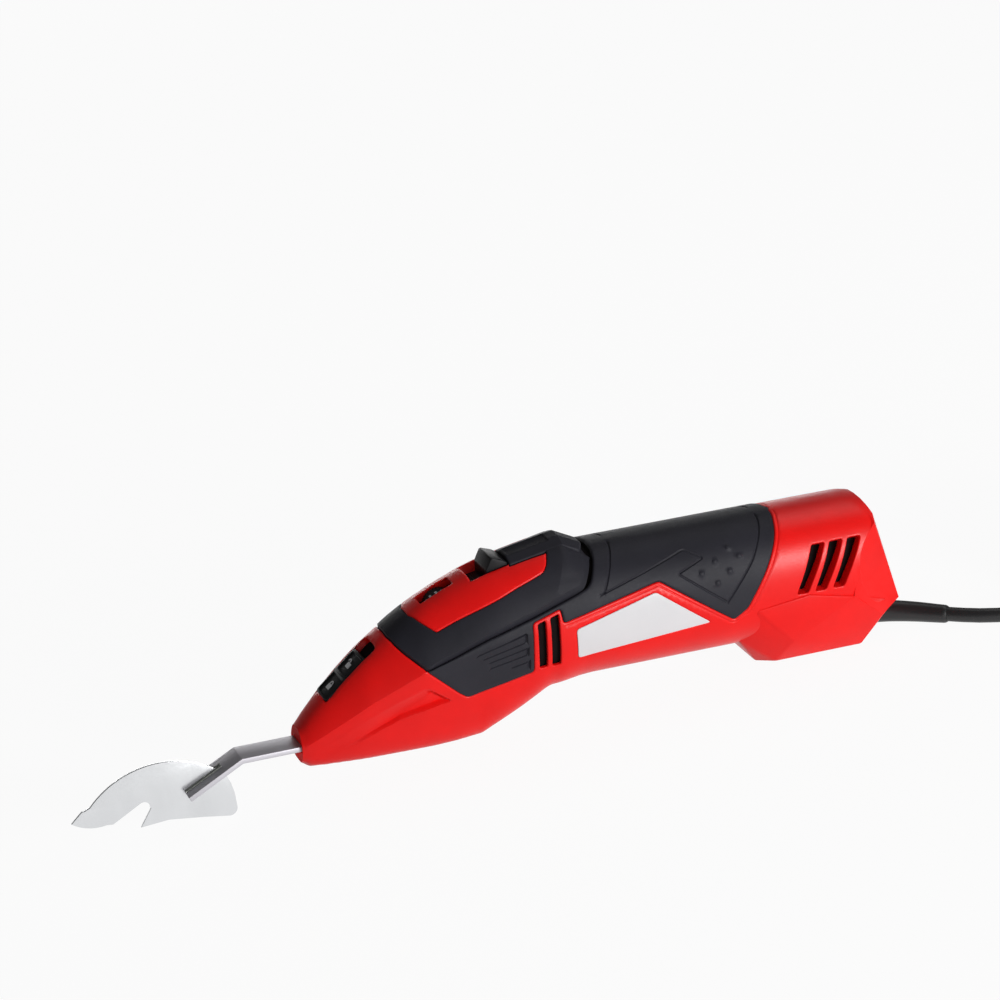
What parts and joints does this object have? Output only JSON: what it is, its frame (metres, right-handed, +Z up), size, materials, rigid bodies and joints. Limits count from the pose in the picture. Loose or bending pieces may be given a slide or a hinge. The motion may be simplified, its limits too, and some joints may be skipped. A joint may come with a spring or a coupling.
{
  "type": "power scraper",
  "caption": "Inline mains power scraper: a motor in the grip drives a crank and plunger that push a hooked joint blade to and fro.",
  "frame": {"origin": "on the floor below the middle of the tool, between the blade tip and the rear block, cord left out", "axes": "+X from the blade towards the cord, +Y to the right of a user who points the blade away, +Z up"},
  "size_m": [0.6071, 0.0979, 0.0893],
  "materials": {
    "red_plastic": "moulded, satin gloss",
    "black_rubber": "finely textured soft moulding",
    "black_plastic": "moulded, matt",
    "white_label": "smooth plate",
    "blade_steel": "bright rolled",
    "steel": "turned",
    "gear_steel": "cut and hardened",
    "lamination_steel": "stacked sheets",
    "cast_alloy": "die cast",
    "bronze": "sintered",
    "brass": "pressed",
    "copper": "wound and varnished",
    "carbon": "pressed carbon",
    "pale_plastic": "moulded",
    "yellow_plastic": "dipped",
    "blue_plastic": "moulded",
    "cord_black": "smooth sheath"
  },
  "bodies": {
    "housing": {"left_housing": "red_plastic", "right_housing": "red_plastic", "left_grip": "black_rubber", "right_grip": "black_rubber", "front_cover": "black_rubber", "switch_panel": "red_plastic", "left_label": "white_label", "right_label": "white_label", "housing_screws": "steel", "gear_frame": "cast_alloy", "front_bush": "bronze", "rear_bush": "bronze", "crank_bearings": "steel", "front_bearing": "steel", "rear_bearing": "steel", "stator": "lamination_steel", "field_coils": "copper", "brush_holders": "brass", "brushes": "carbon", "switch_unit": "black_plastic", "dial_bracket": "black_plastic", "potentiometer": "blue_plastic", "capacitor": "yellow_plastic", "terminal_block": "pale_plastic", "cord_clamp": "black_plastic", "clamp_screws": "steel", "sleeve": "cord_black", "cord": "cord_black", "cord_coil": "cord_black", "cord_tie": "cord_black", "plug": "cord_black", "plug_pins": "steel"},
    "armature": {"armature_shaft": "steel", "pinion": "gear_steel", "armature_core": "lamination_steel", "armature_windings": "copper", "commutator": "copper", "fan": "pale_plastic"},
    "crank": {"crank_shaft": "steel", "crown_gear": "gear_steel", "eccentric_bearing": "steel"},
    "plunger": {"plunger": "gear_steel"},
    "blade": {"blade": "blade_steel", "shank": "blade_steel"},
    "lock": {"lock_slider": "black_plastic", "lock_icons": "white_label"},
    "wedge": {"clamp_wedge": "gear_steel"},
    "switch": {"switch_knob": "black_plastic"},
    "dial": {"speed_dial": "black_plastic"}
  },
  "joints": [
    {"name": "armature_spin", "type": "hinge", "parent": "housing", "child": "armature", "pos_m": [0.09077, 0, 0.04591], "axis": [0.9958, 0, -0.0917], "continuous": true},
    {"name": "crank_spin", "type": "hinge", "parent": "housing", "child": "crank", "pos_m": [-0.03781, 0, 0.03464], "axis": [0.0917, 0, 0.9958], "continuous": true},
    {"name": "plunger_stroke", "type": "slide", "parent": "housing", "child": "plunger", "axis": [0.9958, 0, -0.0917], "range_m": [-0.00075, 0.00075]},
    {"name": "blade_pull", "type": "slide", "parent": "plunger", "child": "blade", "axis": [-0.9958, 0, 0.0917], "range_m": [0, 0.03]},
    {"name": "lock_slide", "type": "slide", "parent": "housing", "child": "lock", "axis": [0.8177, 0, 0.5756], "range_m": [0, 0.0065]},
    {"name": "wedge_slide", "type": "slide", "parent": "plunger", "child": "wedge", "axis": [0.9958, 0, -0.0917], "range_m": [0, 0.00496]},
    {"name": "switch_slide", "type": "slide", "parent": "housing", "child": "switch", "axis": [-0.9931, 0, -0.1174], "range_m": [0, 0.006]},
    {"name": "dial_turn", "type": "hinge", "parent": "housing", "child": "dial", "pos_m": [-0.01689, 0, 0.06984], "axis": [0, 1, 0], "range_deg": [-120, 120]}
  ],
  "couplings": [
    {"joint": "crank_spin", "follows": "armature_spin", "ratio": 0.3},
    {"joint": "wedge_slide", "follows": "lock_slide", "ratio": 0.76154}
  ]
}
